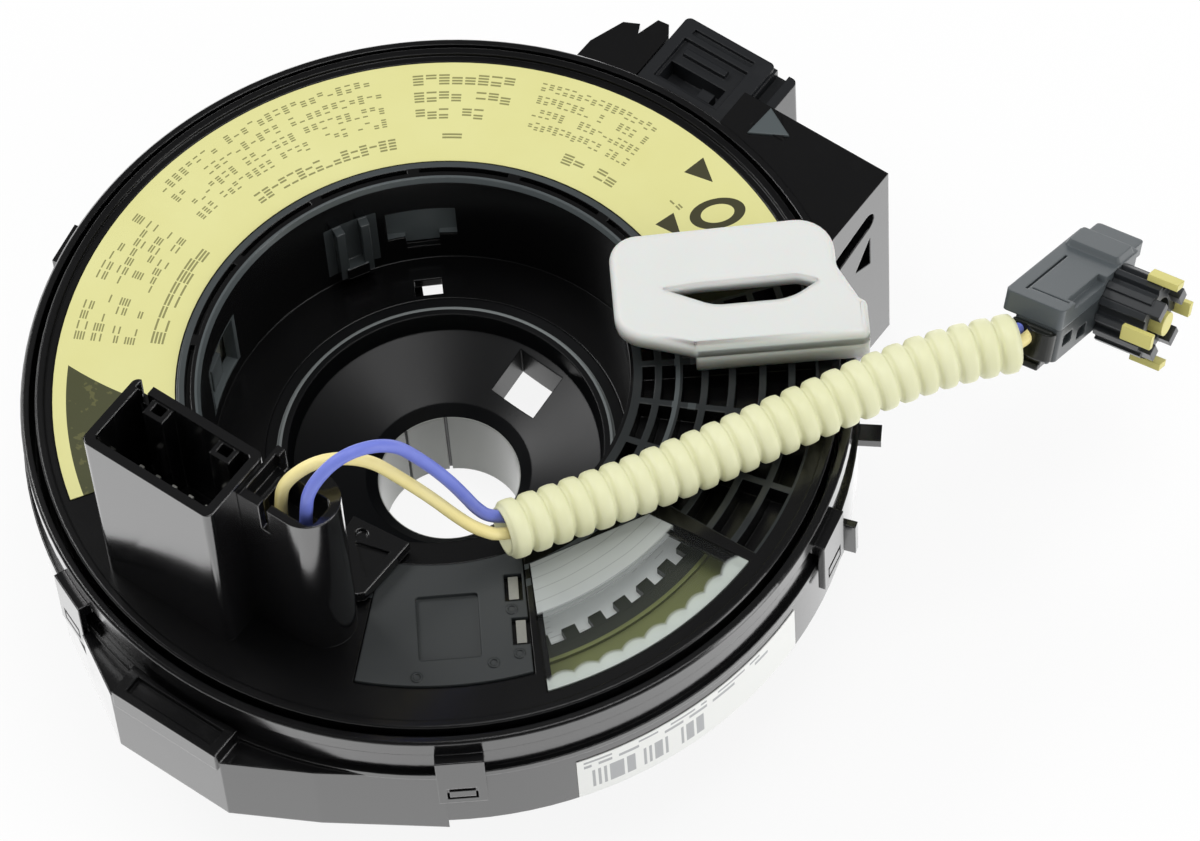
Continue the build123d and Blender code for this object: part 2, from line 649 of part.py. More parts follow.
# ---- upright connector -----------------------------------------------------------------------
tower_cx = (tower_x0 + tower_x1) / 2
tower_cy = (tower_y0 + tower_y1) / 2
tower_l = tower_x1 - tower_x0
tower_w = tower_y1 - tower_y0
cavity_floor_z = tower_z - tower_depth
with BuildPart() as wheel_connector:
    with BuildSketch(Plane.XY.offset(face_z)):
        with Locations((tower_cx, tower_cy)):
            RectangleRounded(tower_l, tower_w, 1.0)
    extrude(amount=tower_h)
    with BuildSketch(Plane.XY.offset(tower_z)):
        with Locations((tower_cx, tower_cy)):
            RectangleRounded(tower_l - 2 * tower_wall, tower_w - 2 * tower_wall, 0.5)
    extrude(amount=-tower_depth, mode=Mode.SUBTRACT)
    # square keys inside the back wall, each with a slit
    key_y = tower_y1 - tower_wall
    for key_x in (tower_x0 + 5.0, tower_x1 - 4.4):
        box_between(key_x - 1.5, key_x + 1.5, key_y - 2.2, key_y + 0.2, cavity_floor_z, tower_z - 0.4)
        box_between(key_x - 0.8, key_x + 0.8, key_y - 1.5, key_y - 0.2, tower_z - 6.0, tower_z,
                    mode=Mode.SUBTRACT)
    # notch in the back wall's corner, and the latch ridge on that wall
    box_between(tower_x0 + 0.8, tower_x0 + 2.6, tower_y1 - tower_wall, tower_y1 + 0.1, tower_z - 3.0, tower_z,
                mode=Mode.SUBTRACT)
wheel_connector.part.label = "wheel_connector"

with BuildPart() as wheel_connector_pins:
    with BuildSketch(Plane.XY.offset(cavity_floor_z)):
        with Locations((tower_cx, tower_cy - 1.2)):
            with GridLocations(2.5, 2.8, 6, 2):
                Rectangle(pin_size, pin_size)
    extrude(amount=pin_h)
wheel_connector_pins.part.label = "wheel_connector_pins"

# ---- wire outlet -----------------------------------------------------------------------------
outlet_r = (outlet_y1 - outlet_y0) / 2
outlet_cy = (outlet_y0 + outlet_y1) / 2
pocket_floor_z = outlet_z - outlet_pocket_depth
with BuildPart() as wire_outlet:
    with BuildSketch(Plane.XY.offset(face_z)):
        with Locations(((tower_x1 + outlet_x1 - outlet_r) / 2, outlet_cy)):
            Rectangle(outlet_x1 - outlet_r - tower_x1, 2 * outlet_r)
        with Locations((outlet_x1 - outlet_r, outlet_cy)):
            Circle(outlet_r)
    extrude(amount=outlet_h)
    with BuildSketch(Plane.XY.offset(outlet_z)):
        with Locations((8.6, outlet_cy - 0.8)):
            RectangleRounded(8.0, 4.4, 1.2)
    extrude(amount=-outlet_pocket_depth, mode=Mode.SUBTRACT)
    box_between(5.6, 6.8, outlet_y0 - 0.1, outlet_y0 + 1.4, outlet_z - 5.0, outlet_z, mode=Mode.SUBTRACT)
    box_between(3.4, 6.0, outlet_y1 - 1.4, outlet_y1 + 0.1, outlet_z - 4.0, outlet_z, mode=Mode.SUBTRACT)
    # three-cornered gusset, which lies over the access cover's corner
    gusset_z = face_z + cover_rise + 0.3
    with BuildSketch(Plane.XY.offset(gusset_z)):
        with BuildLine():
            Polyline((4.6, -23.0), (12.6, -22.2), (12.4, -31.0), (10.4, -33.0), (6.0, -33.0), close=True)
        make_face()
        Circle(near_bore_r - 0.6, mode=Mode.SUBTRACT)
    extrude(amount=1.7)
    with BuildSketch(Plane.XY.offset(gusset_z + 1.7)):
        with BuildLine():
            Polyline((7.0, -25.8), (11.4, -24.6), (11.2, -29.2), close=True)
        make_face()
        with Locations((7.0, -24.6)):
            Circle(0.8)
    extrude(amount=-0.5, mode=Mode.SUBTRACT)
    box_between(tower_x1 + 0.6, tower_x1 + 3.6, outlet_y0 + 1.2, outlet_y1 - 1.2, outlet_z - 2.6, outlet_z,
                mode=Mode.SUBTRACT)
wire_outlet.part.label = "wire_outlet"

# ---- wires and sleeve ------------------------------------------------------------------------
def beside(points, amount):
    """The route moved sideways, level with the floor."""
    moved = []
    for index, point in enumerate(points):
        before = Vector(points[max(index - 1, 0)])
        after = Vector(points[min(index + 1, len(points) - 1)])
        along = after - before
        side = Vector(along.Y, -along.X, 0).normalized()
        moved.append(Vector(point) + side * amount)
    return moved


def tube(points, outer_d, inner_d, name):
    """Round tube, or a solid cord with no inner diameter, along straight runs and tangent arcs."""
    radii = bend_radii(points)
    with BuildPart() as cord:
        with BuildLine() as route:
            FilletPolyline(*points, radius=radii)
        with BuildSketch(Plane(origin=route.line @ 0, z_dir=route.line % 0)):
            Circle(outer_d / 2)
            if inner_d:
                Circle(inner_d / 2, mode=Mode.SUBTRACT)
        sweep(path=route.line)
    length = route.wires()[0].length
    section = 3.14159 / 4 * (outer_d**2 - inner_d**2)
    print(name, "length", round(length, 1), "volume", round(cord.part.volume, 1),
          "section x length", round(section * length, 1), "radii", [round(r, 1) for r in radii])
    cord.part.label = name
    return cord


plug_plane = Plane(origin=(57.7, 46.0, 39.6), x_dir=(-0.052, 0.871, -0.488), z_dir=(-0.111, 0.481, 0.870))
sleeve = tube([Vector(p) for p in sleeve_route], sleeve_d, sleeve_hole_d, "wire_sleeve")
wires = {}
for name, start, side in (("wire_yellow", yellow_start, wire_side), ("wire_blue", blue_start, -wire_side)):
    last = plug_plane.origin + plug_plane.x_dir * 1.2 - plug_plane.y_dir * side
    inside = beside(sleeve_route, side)
    wires[name] = tube([Vector(p) for p in start] + inside[1:] + [last], wire_d, 0, name)

# ---- right-angle plug ------------------------------------------------------------------------
cover_low = plug_h / 2 - plug_cover_t
with BuildPart() as squib_body:
    with BuildSketch(plug_plane.offset(-plug_h / 2)):
        with Locations((plug_l / 2, -plug_inset / 2)):
            RectangleRounded(plug_l, plug_w - plug_inset, 0.9)
    extrude(amount=plug_h - plug_cover_t)
    # recesses in the side that carries the nose, and the boss round the wires
    side_plane = Plane(origin=plug_plane.from_local_coords(Vector(0, -plug_w / 2, 0)), x_dir=plug_plane.x_dir,
                       z_dir=-plug_plane.y_dir)
    with BuildSketch(side_plane):
        with Locations((3.0, -1.2), (7.4, -2.0)):
            RectangleRounded(2.6, 1.6, 0.3)
    extrude(amount=-0.8, mode=Mode.SUBTRACT)
squib_body.part.label = "squib_body"

with BuildPart() as squib_cover:
    with BuildSketch(plug_plane.offset(cover_low)):
        with Locations((plug_l / 2, 0)):
            RectangleRounded(plug_l, plug_w, 0.7)
    extrude(amount=plug_cover_t)
    # stepped tail and the saddle that it starts from
    with BuildSketch(plug_plane.offset(cover_low)):
        with Locations((plug_l + 1.8, 0.4)):
            RectangleRounded(5.0, plug_w - 1.6, 0.6)
    extrude(amount=plug_cover_t - 0.9)
    with BuildSketch(plug_plane.offset(plug_h / 2)):
        with Locations((plug_l - 3.4, 0)):
            RectangleRounded(5.2, plug_w - 0.4, 0.8)
    extrude(amount=0.8, taper=30)
    # groove along the far edge and the outline of the panel
    with BuildSketch(plug_plane.offset(plug_h / 2)):
        with Locations((plug_l / 2 - 3.2, plug_w / 2 - 1.9)):
            Rectangle(11.6, 0.35)
        with Locations((2.7, -0.9)):
            Rectangle(0.35, 5.2)
    extrude(amount=-0.5, mode=Mode.SUBTRACT)
    with BuildSketch(plug_plane.offset(plug_h / 2)):
        with Locations((plug_l / 2 - 3.2, -plug_w / 2 + 0.6)):
            Rectangle(9.0, 1.2)
    extrude(amount=-1.0, mode=Mode.SUBTRACT)
squib_cover.part.label = "squib_cover"

nose_plane = Plane(origin=plug_plane.from_local_coords(Vector(nose_x, -plug_w / 2, -1.5)),
                   x_dir=plug_plane.x_dir, z_dir=-plug_plane.y_dir)
with BuildPart() as squib_nose:
    with BuildSketch(nose_plane):
        Circle(nose_r - 0.6)
    extrude(amount=nose_l - 0.8)
    # fluted wall: ribs with deep grooves between them
    with BuildSketch(nose_plane):
        with PolarLocations(nose_r - 0.5, 14):
            Rectangle(1.4, 1.0)
    extrude(amount=nose_l - 0.8)
    # latch prongs at the front
    with BuildSketch(nose_plane):
        with PolarLocations(nose_r - 0.9, 4, start_angle=45):
            Rectangle(1.5, 2.2)
    extrude(amount=nose_l + 0.8)
    with BuildSketch(nose_plane.offset(nose_l - 0.8)):
        Circle(nose_r - 1.9)
    extrude(amount=-3.0, mode=Mode.SUBTRACT)
squib_nose.part.label = "squib_nose"

with BuildPart() as squib_strips:
    with BuildSketch(nose_plane.offset(nose_l - 3.0)):
        for angle in (0, 90, 180, 270):
            with Locations(Location(polar(nose_r + 0.75, angle), (0, 0, angle))):
                Rectangle(0.9, 1.9)
    extrude(amount=4.2)
    with BuildSketch(nose_plane.offset(nose_l - 3.8)):
        Circle(1.6)
    extrude(amount=4.4)
squib_strips.part.label = "squib_strips"

with BuildPart() as squib_latch:
    with BuildSketch(plug_plane.offset(-plug_h / 2 - 1.3)):
        with Locations((3.2, -0.4)):
            RectangleRounded(3.6, 4.8, 0.5)
    extrude(amount=1.3)
    with BuildSketch(plug_plane.offset(-plug_h / 2 - 0.7)):
        with Locations((8.4, -0.8)):
            RectangleRounded(7.4, 2.6, 0.4)
    extrude(amount=0.7)
squib_latch.part.label = "squib_latch"

# ---- transit lock ----------------------------------------------------------------------------
lock_x = Vector(cos(radians(lock_turn)), sin(radians(lock_turn)))
lock_z = face_z + lock_top_h
lock_plane = Plane(origin=(0, 0, lock_z), x_dir=lock_x, z_dir=(0, 0, 1))
with BuildPart() as transit_lock:
    with BuildSketch(lock_plane) as handle:
        with BuildLine():
            Polyline(
                (lock_x0, 1.6), (lock_step_x, lock_y0), (lock_x1, lock_y0), (lock_x1, 3.4),
                (lock_x1 - 1.8, 5.4), (lock_x1 - 3.6, lock_y1), (lock_x0 + 0.8, lock_y1), close=True,
            )
        make_face()
        corners = [v for v in handle.vertices() if v.center().dot(lock_x) < lock_step_x - 1]
        fillet(corners, 4.2)
        fillet([v for v in handle.vertices() if abs(v.center().dot(lock_x) - lock_x1 + 3.6) < 0.3], 3.2)
    extrude(amount=-lock_t)
    fillet(transit_lock.faces().sort_by(Axis.Z)[-1].edges(), lock_edge_r)
    # finger hole, pointed at both ends
    with BuildSketch(lock_plane):
        with BuildLine():
            ThreePointArc((28.6, 4.8), (39.0, 7.4), (48.4, 5.6))
            Polyline((48.4, 5.6), (44.4, 3.4), (35.6, 2.6), (28.6, 4.8))
        make_face()
    extrude(amount=-lock_t, mode=Mode.SUBTRACT)
    # front wall down to just over the rotor's face, and two feet that stand in the lattice
    wall_z = lip_top_z + 0.4
    with BuildSketch(lock_plane.offset(-lock_t)):
        with Locations(((lock_step_x + lock_x1) / 2, lock_y0 + 0.8)):
            Rectangle(lock_x1 - lock_step_x, 1.6)
    extrude(amount=wall_z - lock_z + lock_t)
    with BuildSketch(lock_plane.offset(-lock_t)):
        with Locations((lock_foot_x, 1.1), (lock_foot_x + 3.9, 1.1)):
            Rectangle(lock_foot_l, 2.0)
    extrude(amount=lattice_z - lock_z + lock_t)
transit_lock.part.label = "transit_lock"

nodes = [
    stator_case, stator_ring, airbag_connector, airbag_connector_pins, column_connector,
    column_connector_pins, side_label, flat_cable, cable_carrier, guide_sheet, cancel_cam, rotor, rotor_label,
    window_lens, access_cover, contact_tabs, wheel_connector, wheel_connector_pins, wire_outlet,
    sleeve, *wires.values(), squib_body, squib_cover, squib_nose, squib_strips, squib_latch,
    transit_lock,
]
for node in nodes:
    export_step(node.part, f"parts/{node.part.label}.step")
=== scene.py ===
import math

import bmesh
import bpy
from mathutils import Matrix, Vector


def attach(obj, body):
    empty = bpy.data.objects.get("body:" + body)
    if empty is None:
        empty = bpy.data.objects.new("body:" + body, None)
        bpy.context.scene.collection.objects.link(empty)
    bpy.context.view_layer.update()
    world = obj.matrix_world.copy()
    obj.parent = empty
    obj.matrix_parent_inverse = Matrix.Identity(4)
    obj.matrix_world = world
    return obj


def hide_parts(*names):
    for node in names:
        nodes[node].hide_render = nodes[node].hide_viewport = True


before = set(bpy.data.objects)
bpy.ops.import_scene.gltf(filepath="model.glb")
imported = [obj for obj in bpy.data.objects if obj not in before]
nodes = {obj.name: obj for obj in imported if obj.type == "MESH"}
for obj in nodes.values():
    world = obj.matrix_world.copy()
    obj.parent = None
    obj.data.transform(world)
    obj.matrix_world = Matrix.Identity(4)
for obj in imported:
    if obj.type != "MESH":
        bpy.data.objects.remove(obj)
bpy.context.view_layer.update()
scene = bpy.context.scene
print("frame loaded:", len(nodes), "nodes")


# ---- shader maths: a socket that takes part in Python expressions
class Sock:
    def __init__(self, tree, out):
        self.tree = tree
        self.out = out

    def math(self, operation, *others, clamp=False):
        node = self.tree.nodes.new("ShaderNodeMath")
        node.operation = operation
        node.use_clamp = clamp
        for place, value in enumerate((self, *others)):
            link(self.tree, value, node.inputs[place])
        return Sock(self.tree, node.outputs[0])

    def __add__(self, other): return self.math("ADD", other)
    __radd__ = __add__
    def __sub__(self, other): return self.math("SUBTRACT", other)
    def __rsub__(self, other): return (self * -1) + other
    def __mul__(self, other): return self.math("MULTIPLY", other)
    __rmul__ = __mul__
    def __truediv__(self, other): return self.math("DIVIDE", other)
    def __gt__(self, other): return self.math("GREATER_THAN", other)
    def __lt__(self, other): return self.math("LESS_THAN", other)

    def within(self, low, high):
        return (self > low) * (self < high)

    def clamped(self):
        return self.math("ADD", 0.0, clamp=True)


def link(tree, value, socket):
    if isinstance(value, Sock):
        tree.links.new(value.out, socket)
    elif value is not None:
        socket.default_value = value


class Finish:
    # one material with its node tree, and short ways to add nodes
    def __init__(self, name):
        self.material = bpy.data.materials.new(name)
        self.material.use_nodes = True
        self.tree = self.material.node_tree
        self.tree.nodes.clear()
        self.out = self.tree.nodes.new("ShaderNodeOutputMaterial")

    def node(self, kind, settings=None, inputs=None, output=0):
        made = self.tree.nodes.new("ShaderNode" + kind)
        for key, value in (settings or {}).items():
            setattr(made, key, value)
        for key, value in (inputs or {}).items():
            link(self.tree, value, made.inputs[key])
        return Sock(self.tree, made.outputs[output])

    def place(self):
        return self.node("TexCoord", output="Object")

    def split(self, vector):
        made = self.tree.nodes.new("ShaderNodeSeparateXYZ")
        link(self.tree, vector, made.inputs[0])
        return [Sock(self.tree, out) for out in made.outputs]

    def noise(self, scale, detail=3.0, rough=0.55):
        return self.node("TexNoise", None, {
            "Vector": self.place(), "Scale": scale, "Detail": detail, "Roughness": rough})

    def chance(self, *places):
        # a random value that stays the same over each whole step of the places
        cell = self.node("CombineXYZ", None, dict(enumerate(places)))
        return self.node("TexWhiteNoise", None, {0: cell}, "Value")

    def mix(self, factor, a, b):
        made = self.tree.nodes.new("ShaderNodeMix")
        made.data_type = "RGBA"
        link(self.tree, factor, made.inputs["Factor"])
        link(self.tree, a, made.inputs["A"])
        link(self.tree, b, made.inputs["B"])
        return Sock(self.tree, made.outputs["Result"])

    def bump(self, height, strength, distance, normal=None):
        return self.node("Bump", None, {
            "Height": height, "Strength": strength, "Distance": distance, "Normal": normal})

    def softEdges(self, radius):
        return self.node("Bevel", {"samples": 6}, {"Radius": radius})

    def surface(self, **inputs):
        shader = self.tree.nodes.new("ShaderNodeBsdfPrincipled")
        for key, value in inputs.items():
            link(self.tree, value, shader.inputs[key.replace("_", " ")])
        self.tree.links.new(shader.outputs[0], self.out.inputs[0])


def radiusOf(x, y):
    return (x * x + y * y).math("SQRT") * 1000           # millimetres from the axis


def angleOf(x, y):
    angle = y.math("ARCTAN2", x) * (180 / math.pi)
    return angle + (angle < 0) * 360                     # degrees, 0 to 360


def rgb(red, green, blue):
    # display values 0 to 255 as linear light
    def lin(value):
        value = value / 255
        return value / 12.92 if value <= 0.04045 else ((value + 0.055) / 1.055) ** 2.4
    return (lin(red), lin(green), lin(blue), 1.0)


# ---- finishes
mouldedBlack = {
    "colour": rgb(11, 11, 12), "dusty": rgb(40, 41, 42), "rough": 0.22, "edge": 0.00028, "shine": 0.55,
}


def blackPlastic(name, look):
    f = Finish(name)
    cloudy = f.noise(38, 4)
    grain = f.noise(2600, 2)
    dust = ((f.noise(210, 6, 0.7) - 0.56) * 5).clamped()
    rough = look["rough"] + cloudy * 0.14 + dust * 0.04
    normal = f.bump(grain + cloudy * 3, 0.10, 0.00004, f.softEdges(look["edge"]))
    f.surface(Base_Color=f.mix(dust * 0.05, look["colour"], look["dusty"]), Roughness=rough,
              Normal=normal, Specular_IOR_Level=look["shine"])
    return f.material


def hubPlastic(look):
    # painted highlight as a thin light line round the rim, and the shaft bore's wall painted pale to stand in
    # for the light on it
    f = Finish("hubPlastic")
    x, y, z = f.split(f.place())
    radius = radiusOf(x, y)
    height = z * 1000
    cloudy = f.noise(44, 4)
    # painted highlight: a thin light ring along the rim edge
    rimHighlight = radius.within(*look["rimHighlightRadii"]) * (height > look["rimHighlightFrom"])
    # painted light: the bore's wall is made pale as if lit, though little light reaches it
    wall = (radius < look["wallRadius"]) * (height < look["wallTop"])
    colour = f.mix(rimHighlight, look["colour"], look["rimHighlight"])
    colour = f.mix(wall, colour, look["wall"])
    f.surface(Base_Color=colour, Roughness=look["rough"] + cloudy * 0.14, Specular_IOR_Level=0.3,
              Normal=f.bump(f.noise(1500, 2) + cloudy * 3, 0.1, 0.00004, f.softEdges(look["edge"])))
    return f.material


def rotorPlastic(look):
    # black, with painted reflections in lighter grey on the clips and pads in the wide bore's wall, and thin
    # painted highlight lines round its rim
    f = Finish("rotorPlastic")
    x, y, z = f.split(f.place())
    radius = radiusOf(x, y)
    height = z * 1000
    angle = angleOf(x, y)
    cloudy = f.noise(38, 4)
    paintedReflections = None
    # each zone is a painted reflection that lightens the black towards a grey
    for a0, a1, r0, r1, z0, z1, tone in look["paintedReflections"]:
        zone = angle.within(a0, a1) * radius.within(r0, r1) * height.within(z0, z1) * tone
        paintedReflections = zone if paintedReflections is None else paintedReflections.math("MAXIMUM", zone)
    paintedReflections = paintedReflections * (0.55 + cloudy * 0.9).clamped()
    normal = f.bump(f.noise(2600, 2) + cloudy * 3, 0.10, 0.00004, f.softEdges(look["edge"]))
    f.surface(Base_Color=f.mix(paintedReflections.clamped(), look["colour"], look["reflectionGrey"]),
              Roughness=look["rough"] + cloudy * 0.12, Normal=normal, Specular_IOR_Level=0.55)
    return f.material


def carrierPlastic(look):
    # dark under the teeth, lighter on the outer step
    f = Finish("carrierPlastic")
    x, y, z = f.split(f.place())
    radius = radiusOf(x, y)
    cloudy = f.noise(80, 4)
    colour = f.mix(radius > look["step"], look["dark"], look["light"])
    colour = f.mix(cloudy * 0.4, colour, f.mix(0.5, colour, look["dark"]))
    f.surface(Base_Color=colour, Roughness=0.3 + cloudy * 0.12,
              Normal=f.bump(cloudy, 0.1, 0.0001, f.softEdges(0.0001)))
    return f.material


def guideFilm(look):
    # fine rings of the coil that lies under the sheet
    f = Finish("guideFilm")
    x, y, z = f.split(f.place())
    radius = radiusOf(x, y)
    turns = (radius * 1.35 + f.noise(30, 2) * 0.3).math("FRACT")
    line = (turns < 0.16) * (f.noise(70, 3) > 0.46)
    shade = ((radius - look["from"]) / look["over"]).clamped()
    colour = f.mix(shade, look["dark"], look["light"])
    colour = f.mix(line * 0.5, colour, look["line"])
    # a faint painted glow lightens the sheet, standing in for the light that the lens keeps from it
    f.surface(Base_Color=colour, Roughness=0.3, Emission_Color=colour, Emission_Strength=look["glow"])
    return f.material


def plainPlastic(name, colour, rough=0.42, edge=0.0002, shade=0.85, weight=0.0):
    f = Finish(name)
    cloudy = f.noise(60, 4)
    normal = f.bump(f.noise(1800, 2) + cloudy * 2, 0.12, 0.00004, f.softEdges(edge))
    darker = tuple(c * shade for c in colour[:3]) + (1.0,)
    f.surface(Base_Color=f.mix((cloudy - 0.35) * 1.6, darker, colour), Roughness=rough + cloudy * 0.12,
              Normal=normal, Subsurface_Weight=weight, Subsurface_Scale=0.002)
    return f.material


labelPrint = {
    "paper": rgb(219, 217, 152), "paperDeep": rgb(211, 207, 136), "ink": rgb(62, 60, 34),
    "inkSoft": rgb(112, 110, 60), "patch": rgb(66, 68, 34),
    # rows of dashes: angle from, angle to, radius from, radius to, rows, groups in a row, boldness
    "fields": [
        (89.0, 110.0, 38.6, 46.8, 4, 17, 0.30), (88.0, 106.0, 34.9, 37.6, 1, 7, 0.42),
        (114.0, 131.0, 38.8, 46.8, 3, 8, 0.40), (117.5, 126.0, 34.7, 37.6, 1, 2, 0.46),
        (135.0, 168.5, 34.6, 37.4, 1, 17, 0.38), (136.0, 177.0, 38.4, 47.0, 4, 27, 0.30),
        (182.0, 207.5, 38.2, 46.8, 4, 13, 0.40), (182.0, 206.5, 34.4, 37.2, 1, 8, 0.46),
        (74.5, 79.5, 37.5, 40.0, 1, 3, 0.34),
    ],
    "bandsInRow": 6, "dashHalf": 0.3, "gapShare": 0.16, "missingShare": 0.3,
    # radius and angle of the centres of the marks
    "index": (44.8, 77.6), "nought": (42.4, 70.0), "nextIndex": (36.6, 72.6),
    "noughtTilt": (0.94, 0.34), "noughtSize": (13.0, 5.2), "noughtInner": 0.6,
    "patchFrom": 212.2, "patchRadius": 46.4,
}


def labelFilm(look):
    f = Finish("labelFilm")
    x, y, z = f.split(f.place())
    radius = radiusOf(x, y)
    angle = angleOf(x, y)
    ink = None
    for seed, (a0, a1, r0, r1, rows, groups, bold) in enumerate(look["fields"]):
        across = (angle - a0) * (groups / (a1 - a0))
        down = (radius - r0) * (rows / (r1 - r0))
        bands = down * look["bandsInRow"]
        group = across.math("FLOOR")
        printed = f.chance(group, down.math("FLOOR"), seed * 7.3) > look["gapShare"]
        wide = (across.math("FRACT") - 0.5).math("ABSOLUTE") < bold
        tall = (down.math("FRACT") - 0.5).math("ABSOLUTE") < 0.28 + bold * 0.14
        # stacked level dashes with nothing upright between them, so no character is formed
        dash = (bands.math("FRACT") - 0.5).math("ABSOLUTE") < look["dashHalf"]
        stroke = (f.chance(group, bands.math("FLOOR"), seed * 3.1) > look["missingShare"]) * dash
        inside = angle.within(a0, a1) * radius.within(r0, r1)
        field = wide * tall * stroke * inside * printed
        ink = field if ink is None else ink.math("MAXIMUM", field)

    # index mark, the figure nought and the edge of the next mark
    def local(atRadius, atAngle):
        cx, cy = atRadius * math.cos(math.radians(atAngle)), atRadius * math.sin(math.radians(atAngle))
        c, s = math.cos(math.radians(atAngle)), math.sin(math.radians(atAngle))
        dx, dy = x * 1000 - cx, y * 1000 - cy
        return dx * c + dy * s, dy * c - dx * s          # outward, anticlockwise
    out, around = local(*look["index"])
    mark = (around < 2.0) * ((out.math("ABSOLUTE") - around * 0.45) < 0.75) * (around > -1.6)
    out, around = local(*look["nought"])
    c, s = look["noughtTilt"]
    long, short = out * c - around * s, out * s + around * c
    ring = (long * long / look["noughtSize"][0] + short * short / look["noughtSize"][1]).math("SQRT")
    nought = ring.within(look["noughtInner"], 1.0)
    out, around = local(*look["nextIndex"])
    half = (around < 1.6) * ((out.math("ABSOLUTE") - around * 0.4) < 0.8) * (around > -1.6)
    heavy = mark.math("MAXIMUM", nought).math("MAXIMUM", half)
    edge = look["patchRadius"]
    patch = (radius < edge) * (angle > (edge - radius) * 0.8 + look["patchFrom"])
    paper = f.mix(f.noise(90, 3), look["paperDeep"], look["paper"])
    colour = f.mix(ink * 0.82, paper, look["inkSoft"])
    colour = f.mix(heavy, colour, look["ink"])
    speck = f.noise(900, 3) > 0.62
    colour = f.mix(patch, colour, f.mix(speck * 0.4, look["patch"], look["inkSoft"]))
    f.surface(Base_Color=colour, Roughness=0.34 + f.noise(150, 3) * 0.12,
              Normal=f.bump(ink + heavy, 0.15, 0.00003))
    return f.material


stickerPrint = {
    "paper": rgb(232, 233, 230), "ink": rgb(120, 122, 128), "caseRadius": 52.2,
    # bars and dashes: heights, how far along the wall, steps per millimetre
    "barHeights": (18.4, 22.4), "barSpan": (-30.0, -13.0), "barSteps": 2.6,
    "dashHeights": (22.9, 24.9), "dashSpan": (-31.0, -3.0), "dashSteps": 1.1, "dashRows": 0.9,
}


def barSticker(look):
    f = Finish("barSticker")
    x, y, z = f.split(f.place())
    along = y.math("ARCTAN2", x) * look["caseRadius"]
    height = z * 1000
    rows = height * look["dashRows"]
    bars = f.chance((along * look["barSteps"]).math("FLOOR")) > 0.5
    dashes = f.chance((along * look["dashSteps"]).math("FLOOR"), rows.math("FLOOR")) > 0.42
    bars = bars * height.within(*look["barHeights"]) * along.within(*look["barSpan"])
    dashes = dashes * height.within(*look["dashHeights"]) * (rows.math("FRACT") < 0.55)
    dashes = dashes * along.within(*look["dashSpan"])
    ink = bars.math("MAXIMUM", dashes)
    f.surface(Base_Color=f.mix(ink * 0.72, look["paper"], look["ink"]), Roughness=0.42)
    return f.material


lensLook = {
    "veil": rgb(192, 197, 196), "veilLine": rgb(136, 140, 138), "rim": rgb(196, 204, 198),
    "frostedTo": 37.0, "rimFrom": 44.7, "scallopDegrees": 4.0,
}


def clearLens(look):
    # clear over the teeth, veiled towards the bore, frosted along the outer edge with a scalloped border
    f = Finish("clearLens")
    x, y, z = f.split(f.place())
    radius = radiusOf(x, y)
    around = (y.math("ARCTAN2", x) * (180 / math.pi / look["scallopDegrees"])).math("FRACT") - 0.5
    scallop = around * around * 2.4
    veil = f.noise(45, 3)
    frosted = ((look["frostedTo"] - radius) * 2.5).clamped()
    rings = (radius * 0.62 + veil * 0.5).math("FRACT") < 0.07
    rim = ((radius - look["rimFrom"] - scallop - veil * 0.8) * 1.6).clamped()
    alpha = (0.015 + frosted * 0.78 + rim * (0.45 + veil * 0.5)).clamped()
    colour = f.mix(rim, f.mix(rings * 0.45, look["veil"], look["veilLine"]), look["rim"])
    f.surface(Base_Color=colour, Roughness=0.12 + veil * 0.1, Alpha=alpha, Coat_Weight=0.4,
              Normal=f.bump(veil, 0.06, 0.0002, f.softEdges(0.0002)))
    return f.material


def brightMetal(name, colour, rough):
    f = Finish(name)
    fine = f.noise(1400, 3)
    f.surface(Base_Color=f.mix(fine, colour, tuple(c * 0.8 for c in colour[:3]) + (1.0,)), Metallic=0.9,
              Roughness=rough + fine * 0.15, Normal=f.bump(fine, 0.1, 0.00003))
    return f.material


def black(name, **changes):
    return blackPlastic(name, {**mouldedBlack, **changes})


caseBlack = black("caseBlack", rough=0.1, shine=0.8)
rotorBlack = rotorPlastic({
    "colour": rgb(7, 7, 8), "reflectionGrey": rgb(116, 124, 126), "rough": 0.16, "edge": 0.00028,
    # angles, radii, heights and strength of each painted reflection zone
    "paintedReflections": [(122.5, 141.5, 29.9, 32.0, 22.0, 31.0, 0.7), (143.0, 157.0, 28.0, 32.0, 20.9, 31.2, 0.35),
             (189.0, 207.0, 27.0, 33.5, 21.0, 31.0, 0.6), (56.0, 64.0, 28.5, 29.6, 23.5, 31.2, 0.4),
             (0.0, 360.0, 29.6, 30.3, 35.6, 37.0, 0.45), (0.0, 360.0, 31.6, 32.6, 35.8, 37.0, 0.3),
             (2.0, 53.0, 24.5, 47.5, 35.9, 37.0, 0.12)],
})
housingBlack = black("housingBlack", colour=rgb(14, 14, 15), rough=0.05, shine=1.0)
greyBlack = black("greyBlack", colour=rgb(26, 28, 31), dusty=rgb(56, 58, 61), rough=0.26)
plugGrey = black("plugGrey", colour=rgb(80, 86, 89), dusty=rgb(112, 118, 120), rough=0.3)
# painted shade: a darker copy of the plug grey for the body, which lies in the shade under the cover's
# overhang
plugShadedGrey = black("plugShadedGrey", colour=rgb(56, 61, 63), dusty=rgb(84, 90, 91), rough=0.3)
noseGrey = black("noseGrey", colour=rgb(40, 43, 46), dusty=rgb(70, 73, 76), rough=0.34)
tinned = brightMetal("tinned", rgb(168, 168, 162), 0.36)

